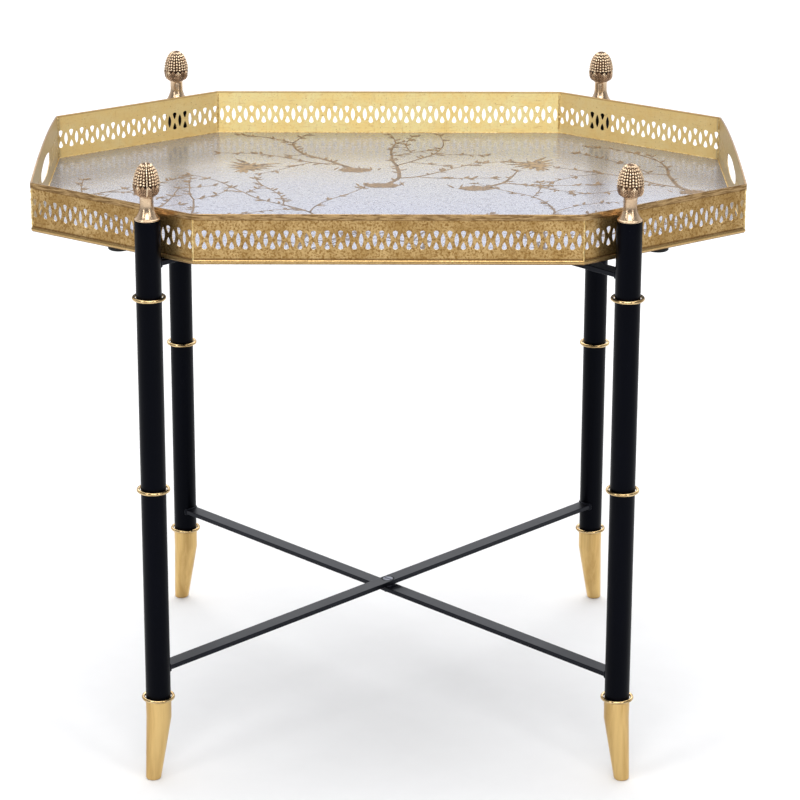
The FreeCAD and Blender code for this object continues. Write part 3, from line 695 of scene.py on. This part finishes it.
SABOT_STRAIGHT = 66 * MM
SABOT_SHIN = 32 * MM
SHIN_RADIUS = 10.3 * MM
TOE_RADIUS = 7.75 * MM
TOE_OUT = 9.2 * MM
TOE_ROUND = 1.8 * MM
TUBE_ROUND = 1.0 * MM


def sabot_radius(height, top_radius, top):
    """The foot's radius: a ferrule that narrows a little, then a taper to the toe."""
    if height >= SABOT_STRAIGHT:
        share = (height - SABOT_STRAIGHT) / (top - SABOT_STRAIGHT)
        return top_radius - 0.25 * MM * (1 - share)
    share = height / SABOT_STRAIGHT
    shin = SABOT_SHIN / SABOT_STRAIGHT
    waist = top_radius - 0.25 * MM
    bow = SHIN_RADIUS - (TOE_RADIUS + (waist - TOE_RADIUS) * shin)
    return TOE_RADIUS + (waist - TOE_RADIUS) * share + 4 * bow * share * (1 - share)


def build_sabots():
    """The brass feet, whose inner side tapers while the outer side stays almost straight."""
    for leg in LEGS:
        node = "sabot_" + leg
        centre = middle_of("leg_tube_" + leg)
        outward = centre.normalized()
        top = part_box("leg_tube_" + leg)[0].z
        top_radius = (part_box("leg_tube_" + leg)[1].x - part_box("leg_tube_" + leg)[0].x) / 2 + 0.4 * MM

        def shift(height, outward=outward):
            share = clamp(1 - height / SABOT_STRAIGHT)
            return outward * TOE_OUT * share

        profile = []
        for step in range(7):
            turn = math.pi / 2 * step / 6
            height = TOE_ROUND * (1 - math.cos(turn))
            radius = sabot_radius(height, top_radius, top)
            profile.append((radius - TOE_ROUND * (1 - math.sin(turn)), height))
        for height in span(TOE_ROUND + 1 * MM, top - 0.6 * MM, 52):
            profile.append((sabot_radius(height, top_radius, top), height))
        profile += [(top_radius - 0.15 * MM, top - 0.2 * MM), (top_radius - 0.5 * MM, top)]
        shape = Shape()
        turned(shape, centre, profile, 96, None, shift)
        piece = shape.build(
            "cast_" + node, BODY_OF[node], MATERIALS["sabot_brass"]
        )
        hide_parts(node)


def build_tubes():
    """The painted leg tubes, with the soft edge at the top that the paint rounds over."""
    for leg in LEGS:
        node = "leg_tube_" + leg
        low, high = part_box(node)
        radius = (high.x - low.x) / 2
        profile = [(radius - 1.4 * MM, low.z), (radius, low.z)]
        profile += [(radius, z) for z in span(low.z + 2 * MM, high.z - TUBE_ROUND, 40)]
        for step in range(1, 7):
            turn = math.pi / 2 * step / 6
            profile.append(
                (
                    radius - TUBE_ROUND * (1 - math.cos(turn)),
                    high.z - TUBE_ROUND * (1 - math.sin(turn)),
                )
            )
        profile.append((radius - 1.5 * MM, high.z))
        shape = Shape()
        turned(shape, middle_of(node), profile, 96)
        piece = shape.build("painted_" + node, BODY_OF[node], MATERIALS["black_tube"])
        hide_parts(node)


# ---------------------------------------------------------------- welds and solder

WELD_RADIUS = 1.5 * MM
OUTER_SEAM = 0.85 * MM
INNER_SEAM = 1.1 * MM
SEAM_STEPS = 44
FLOOR_BEAD_RADIUS = 0.55 * MM
BAR_ENDS = {"a": ("front_left", "back_right"), "b": ("front_right", "back_left")}


def bar_width(node):
    """Width of a flat bar that runs along a diagonal of the stand."""
    vertices = frame["nodes"][node].data.vertices
    return 2 * max(
        min(abs(v.co.x - v.co.y), abs(v.co.x + v.co.y)) / math.sqrt(2) for v in vertices
    )


def weld_path(leg, low, high, width):
    """A loop round the end of a bar, on the surface of the leg's tube."""
    tube_low, tube_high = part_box("leg_tube_" + leg)
    radius = (tube_high.x - tube_low.x) / 2
    centre = middle_of("leg_tube_" + leg)
    inward = -centre.normalized()
    sideways = Vector((-inward.y, inward.x))
    half = width / 2
    loop = [(s, high) for s in span(-half, half, 18)]
    loop += [(half, z) for z in span(high, low, 7)[1:-1]]
    loop += [(s, low) for s in span(half, -half, 18)]
    loop += [(-half, z) for z in span(low, high, 7)[1:-1]]
    path = []
    for side, height in loop:
        spot = centre + inward * math.sqrt(radius**2 - side**2) + sideways * side
        path.append(Vector((spot.x, spot.y, height)))
    return path


def build_welds():
    dice = random.Random(11)
    for level in ("upper", "lower"):
        for letter, legs in BAR_ENDS.items():
            bar = f"{level}_bar_{letter}"
            low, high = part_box(bar)
            for leg in legs:
                path = weld_path(leg, low.z, high.z, bar_width(bar))
                ripple = [
                    WELD_RADIUS * (0.86 + 0.1 * math.sin(2.1 * i) + 0.14 * dice.random())
                    for i in range(len(path))
                ]
                shape = Shape()
                sweep(shape, path, ripple.__getitem__, 10, closed=True)
                shape.build(f"weld_{level}_{leg}", BODY_OF[bar], MATERIALS["black_bar"])


def build_seams():
    """Solder run down the gallery's eight corners, inside and outside."""
    dice = random.Random(5)
    outer = outline(WALL_GAP + SHEET)
    inner = outline(WALL_GAP)
    for i, (outside, inside) in enumerate(zip(outer, inner), 1):
        shape = Shape()
        for spot, thick, low in ((outside, OUTER_SEAM, RIM_LOW), (inside, INNER_SEAM, PANEL_TOP)):
            heights = span(low + 1.2 * MM, RIM_TOP - 1.4 * MM, SEAM_STEPS)
            drift = [dice.uniform(-0.22, 0.22) * MM for _ in heights]
            path = [
                Vector((spot.x + drift[k], spot.y + drift[-k], z)) for k, z in enumerate(heights)
            ]
            widths = [
                thick * (0.7 + 0.55 * dice.random()) * ease((k + 1) / 3) * ease((SEAM_STEPS - k) / 3)
                for k in range(SEAM_STEPS)
            ]
            sweep(shape, path, widths.__getitem__, 10)
        shape.build(f"corner_seam_{i}", "tray", SOLDER)


def build_floor_bead():
    """The thin bright bead where the panel meets the gallery, all the way round."""
    dice = random.Random(8)
    corners = outline(WALL_GAP - 0.45 * MM)
    path = []
    for i, corner in enumerate(corners):
        after = corners[(i + 1) % len(corners)]
        steps = max(8, int((after - corner).length / (4 * MM)))
        for k in range(steps):
            spot = corner.lerp(after, k / steps)
            path.append(Vector((spot.x, spot.y, PANEL_TOP + 0.15 * MM)))
    widths = [FLOOR_BEAD_RADIUS * (0.75 + 0.5 * dice.random()) for _ in path]
    shape = Shape()
    sweep(shape, path, widths.__getitem__, 8, closed=True)
    shape.build("floor_bead", "tray", SOLDER)


# ---------------------------------------------------------------- painted decoration

TWIG_LIFT = 0.03 * MM
LEAF_LIFT = 0.07 * MM
LAYER = 0.004 * MM
MARGIN = 9 * MM
STEP = 5 * MM
GAP = 11 * MM
SHORTEST_FORKED = 75 * MM
TRUNK_WIDTH = 5.2 * MM
THINNEST_TWIG = 1.2 * MM
HILLOCK_WIDTH = 36 * MM


def on_panel(spot, margin=MARGIN):
    """True where a point is on the panel and not near its edge."""
    for i, corner in enumerate(CORNERS):
        start = Vector(corner)
        along = (Vector(CORNERS[(i + 1) % len(CORNERS)]) - start).normalized()
        inward = Vector((-along.y, along.x))
        if (spot - start).dot(inward) < margin:
            return False
    return True


def heading(angle):
    return Vector((math.cos(angle), math.sin(angle)))


def patch(shape, spots):
    """A flat touch of paint, a few microns above or below the last one so that none coincide."""
    height = PANEL_TOP + LEAF_LIFT + LAYER * (len(shape.faces) % 17)
    shape.add([Vector((spot.x, spot.y, height)) for spot in spots], [tuple(range(len(spots)))])


def ribbon(shape, spots, widths):
    """A tapering brush stroke along a line of points."""
    height = PANEL_TOP + TWIG_LIFT + LAYER * (len(shape.faces) % 7)
    points = []
    for i, spot in enumerate(spots):
        along = spots[min(i + 1, len(spots) - 1)] - spots[max(i - 1, 0)]
        side = Vector((-along.y, along.x)).normalized() * widths[i] / 2
        for edge in (spot - side, spot + side):
            points.append(Vector((edge.x, edge.y, height)))
    faces = [(2 * i, 2 * i + 2, 2 * i + 3, 2 * i + 1) for i in range(len(spots) - 1)]
    shape.add(points, faces)


def leaf(shape, spot, angle, length, width):
    """A pointed leaf that leaves spot at an angle."""
    along = heading(angle)
    side = Vector((-along.y, along.x))
    halves = [(share, width / 2 * math.sin(math.pi * share**0.8)) for share in span(0.0, 1.0, 8)]
    right = [spot + along * length * share - side * half for share, half in halves]
    left = [spot + along * length * share + side * half for share, half in halves[1:-1]]
    patch(shape, right + left[::-1])


class Tree:
    """One painted tree: strokes for its twigs, and patches for its leaves and buds."""

    def __init__(self, seed, twigs, leaves, taken):
        self.dice = random.Random(seed)
        self.twigs = twigs
        self.leaves = leaves
        self.taken = taken

    def tuft(self, spot, angle, turns=(-0.7, 0.05, 0.75)):
        """A bud with small leaves at a joint or at a twig's end."""
        for turn in turns:
            size = self.dice.uniform(6.0, 12.0) * MM
            toward = angle + turn + self.dice.uniform(-0.25, 0.25)
            if on_panel(spot + heading(toward) * size, 3 * MM):
                leaf(self.leaves, spot, toward, size, 0.3 * size)
        if self.dice.random() < 0.3:
            size = self.dice.uniform(1.6, 2.6) * MM
            patch(self.leaves, [spot + heading(2 * math.pi * k / 9) * size for k in range(9)])

    def close_to(self, spot):
        """The points of all branches that are near a fork."""
        return [other for other in self.taken if (other - spot).length < 2.4 * GAP]

    def crowded(self, spot, own):
        """True where a spot is close to any branch point that isn't in own."""
        return any((spot - other).length < GAP for other in self.taken if other not in own)

    def fork(self, spot, toward, side, left, width, order):
        """A side branch; returns the angle between it and the branch that it leaves."""
        reach = left * self.dice.uniform(0.55, 0.8)
        turn = side * self.dice.uniform(0.55, 0.95)
        self.grow(spot, toward + turn, reach, width, order + 1)
        return turn

    def grow(self, spot, angle, length, width, order):
        """A branch that sways about its heading, thins, and forks at its joints."""
        near_fork = self.close_to(spot)
        spots = [spot]
        count = int(length / STEP)
        phase = self.dice.uniform(0, 2 * math.pi)
        pace = self.dice.uniform(0.13, 0.2)
        side = self.dice.choice((-1, 1))
        joints = 0
        next_joint = self.dice.randint(4, 7)
        for i in range(1, count + 1):
            toward = angle + 0.34 * math.sin(pace * i + phase)
            following = spots[-1] + heading(toward) * STEP
            if not on_panel(following) or self.crowded(following, near_fork + spots):
                break
            spots.append(following)
            self.taken.append(following)
            if self.dice.random() < 0.3:
                self.tuft(following, toward + self.dice.choice((-0.9, 0.9)), (0.0,))
            if i < next_joint:
                continue
            next_joint += self.dice.randint(4, 7)
            joints += 1
            side = -side
            left = length - i * STEP
            if joints % 2 and order < 2 and left > SHORTEST_FORKED:
                thick = 0.72 * width * (1 - 0.7 * i / count)
                turn = self.fork(following, toward, side, left, thick, order)
                near_fork += self.close_to(following)
                angle -= 0.3 * turn
            else:
                self.tuft(following, toward + 0.7 * side, (-0.4, 0.4))
        if len(spots) > 1:
            taper = span(1.0, 0.26, len(spots))
            ribbon(self.twigs, spots, [max(THINNEST_TWIG, width * share) for share in taper])
            self.tuft(spots[-1], toward)


def hillock(shape, middle, width, dice):
    """A small mound of rough ground that a tree grows from, with blades of grass."""
    spots = []
    for k in range(22):
        angle = 2 * math.pi * k / 22
        reach = 0.85 + 0.25 * dice.random()
        around = Vector((math.cos(angle) * width / 2, math.sin(angle) * width / 4))
        spots.append(middle + around * reach)
    patch(shape, spots)
    for k in range(9):
        root = middle + Vector((width * (k / 8 - 0.5) * 1.3, 0.0))
        leaf(shape, root, math.radians(dice.uniform(50, 130)), dice.uniform(9, 18) * MM, 2.2 * MM)


def bird(shape, middle, angle, size):
    """A plain gliding bird: two fanned wings, a tail and a slim body."""
    along = heading(angle)
    for turn in (-0.4, 0.0, 0.4):
        leaf(shape, middle - along * 0.2 * size, angle + math.pi + turn, 0.42 * size, 0.13 * size)
    for hand in (-1, 1):
        for feather in range(5):
            swept = hand * (0.95 + 0.32 * feather)
            root = middle + along * (0.18 - 0.07 * feather) * size
            leaf(shape, root, angle + swept, (0.8 - 0.1 * feather) * size, 0.13 * size)
    leaf(shape, middle - along * 0.4 * size, angle, 0.9 * size, 0.22 * size)


# Each tree: its foot as shares of the panel's half length and half depth, its heading in
# degrees, its reach in metres and its seed.
TREES = (
    (-0.30, -1.0, 50, 0.46, 21),
    (0.46, -1.0, 116, 0.42, 30),
    (0.10, -1.0, 84, 0.44, 9),
    (-0.72, -1.0, 84, 0.44, 3),
    (0.84, -1.0, 96, 0.40, 17),
    (-0.02, 0.1, 60, 0.30, 5),
    (-0.90, -0.1, 40, 0.34, 12),
    (0.90, 0.0, 130, 0.30, 7),
    (-0.1, 0.35, 130, 0.24, 14),
    (0.26, 0.06, 40, 0.24, 26),
)
# Each bird: its place as shares of the panel's half length and half depth, and its heading.
BIRD_SIZE = 42 * MM
BIRDS = ((-0.42, 0.40, 70), (0.44, 0.44, 112))


def build_decoration():
    """Thin painted trees, mounds and two birds, spread over the whole panel."""
    twigs = Shape()
    leaves = Shape()
    birds = Shape()
    taken = []
    for across, back, degrees in BIRDS:
        middle = Vector((across * HALF_LENGTH, back * HALF_DEPTH))
        bird(birds, middle, math.radians(degrees), BIRD_SIZE)
        taken += [middle + heading(2 * math.pi * k / 12) * 0.42 * BIRD_SIZE for k in range(12)]
    for across, back, degrees, reach, seed in TREES:
        tree = Tree(seed, twigs, leaves, taken)
        foot = Vector((across * HALF_LENGTH, back * HALF_DEPTH))
        while not on_panel(foot, 16 * MM):
            foot.y += STEP
        hillock(leaves, foot, HILLOCK_WIDTH, tree.dice)
        tree.grow(foot, math.radians(degrees), reach, TRUNK_WIDTH, 0)
    twigs.build("painted_twigs", "tray", TWIG_PAINT, smooth=False)
    leaves.build("painted_leaves", "tray", LEAF_PAINT, smooth=False)
    birds.build("painted_birds", "tray", BIRD_PAINT, smooth=False)


# ---------------------------------------------------------------- the studio

def build_floor():
    """A wide, plain, pale floor."""
    size = 14.0
    mesh = bpy.data.meshes.new("studio_floor")
    corners = [(-size, -size, 0.0), (size, -size, 0.0), (size, size, 0.0), (-size, size, 0.0)]
    mesh.from_pydata(corners, [], [(0, 1, 2, 3)])
    s = Shader("studio_floor", {"Specular IOR Level": 0.1})
    grain = s.noise(s.place(), 30.0, 3.0, 0.5)
    mesh.materials.append(
        s.finish(s.blend(grain, tone(235, 235, 235), tone(239, 239, 239)), s.spread(grain, 0.8, 0.9))
    )
    floor = bpy.data.objects.new("studio_floor", mesh)
    bpy.context.scene.collection.objects.link(floor)


def build_world():
    """Soft white surroundings, dim in front of the table and bright behind it."""
    world = bpy.data.worlds.new("studio")
    bpy.context.scene.world = world
    world.use_nodes = True
    tree = world.node_tree
    background = tree.nodes["Background"]
    place = tree.nodes.new("ShaderNodeTexCoord")
    split = tree.nodes.new("ShaderNodeSeparateXYZ")
    tree.links.new(place.outputs["Generated"], split.inputs[0])
    reach = tree.nodes.new("ShaderNodeMapRange")
    reach.inputs[1].default_value = -0.5
    reach.inputs[2].default_value = 0.7
    reach.inputs[3].default_value = 0.14
    reach.inputs[4].default_value = 0.95
    tree.links.new(split.outputs[1], reach.inputs[0])
    tree.links.new(reach.outputs[0], background.inputs["Strength"])
    background.inputs["Color"].default_value = tone(250, 251, 255)


def area_light(name, spot, target, width, height, power):
    data = bpy.data.lights.new(name, "AREA")
    data.shape = "RECTANGLE"
    data.size = width
    data.size_y = height
    data.energy = power
    light = bpy.data.objects.new(name, data)
    light.location = spot
    light.rotation_euler = (Vector(target) - Vector(spot)).to_track_quat("-Z", "Y").to_euler()
    bpy.context.scene.collection.objects.link(light)


def build_lights():
    area_light("overhead", (0.0, 0.4, 3.0), (0.0, 0.0, 0.3), 3.4, 3.4, 74.0)
    area_light("front_fill", (0.0, -3.0, 3.0), (0.0, 0.0, 0.4), 2.4, 1.8, 66.0)
    area_light("left_strip", (-1.7, -1.7, 1.5), (0.0, 0.0, 0.45), 0.5, 1.6, 11.0)
    area_light("right_strip", (1.5, -2.0, 1.5), (0.0, 0.0, 0.45), 0.5, 1.6, 11.0)
    area_light("back_wash", (0.0, 3.2, 2.2), (0.0, 2.4, 0.0), 5.0, 1.6, 60.0)


CAMERA_SPOT = Vector((-0.0005, -3.269, 1.476))
CAMERA_PITCH = 0.338
CAMERA_YAW = -0.004
CAMERA_ROLL = 0.003
CAMERA_LENS = 146.6


def build_camera():
    """A long lens, three and a quarter metres away, that looks 19 degrees down."""
    data = bpy.data.cameras.new("camera")
    data.sensor_width = 36.0
    data.lens = CAMERA_LENS
    data.clip_end = 60.0
    camera = bpy.data.objects.new("camera", data)
    turn = Matrix.Rotation(CAMERA_YAW, 4, "Z") @ Matrix.Rotation(math.pi / 2 - CAMERA_PITCH, 4, "X")
    camera.matrix_world = Matrix.Translation(CAMERA_SPOT) @ turn @ Matrix.Rotation(CAMERA_ROLL, 4, "Z")
    bpy.context.scene.collection.objects.link(camera)
    bpy.context.scene.camera = camera


bpy.context.scene.view_settings.view_transform = "Standard"
dress_cad_nodes()
build_finials()
build_sabots()
build_tubes()
build_welds()
build_seams()
build_floor_bead()
build_decoration()
build_floor()
build_world()
build_lights()
build_camera()
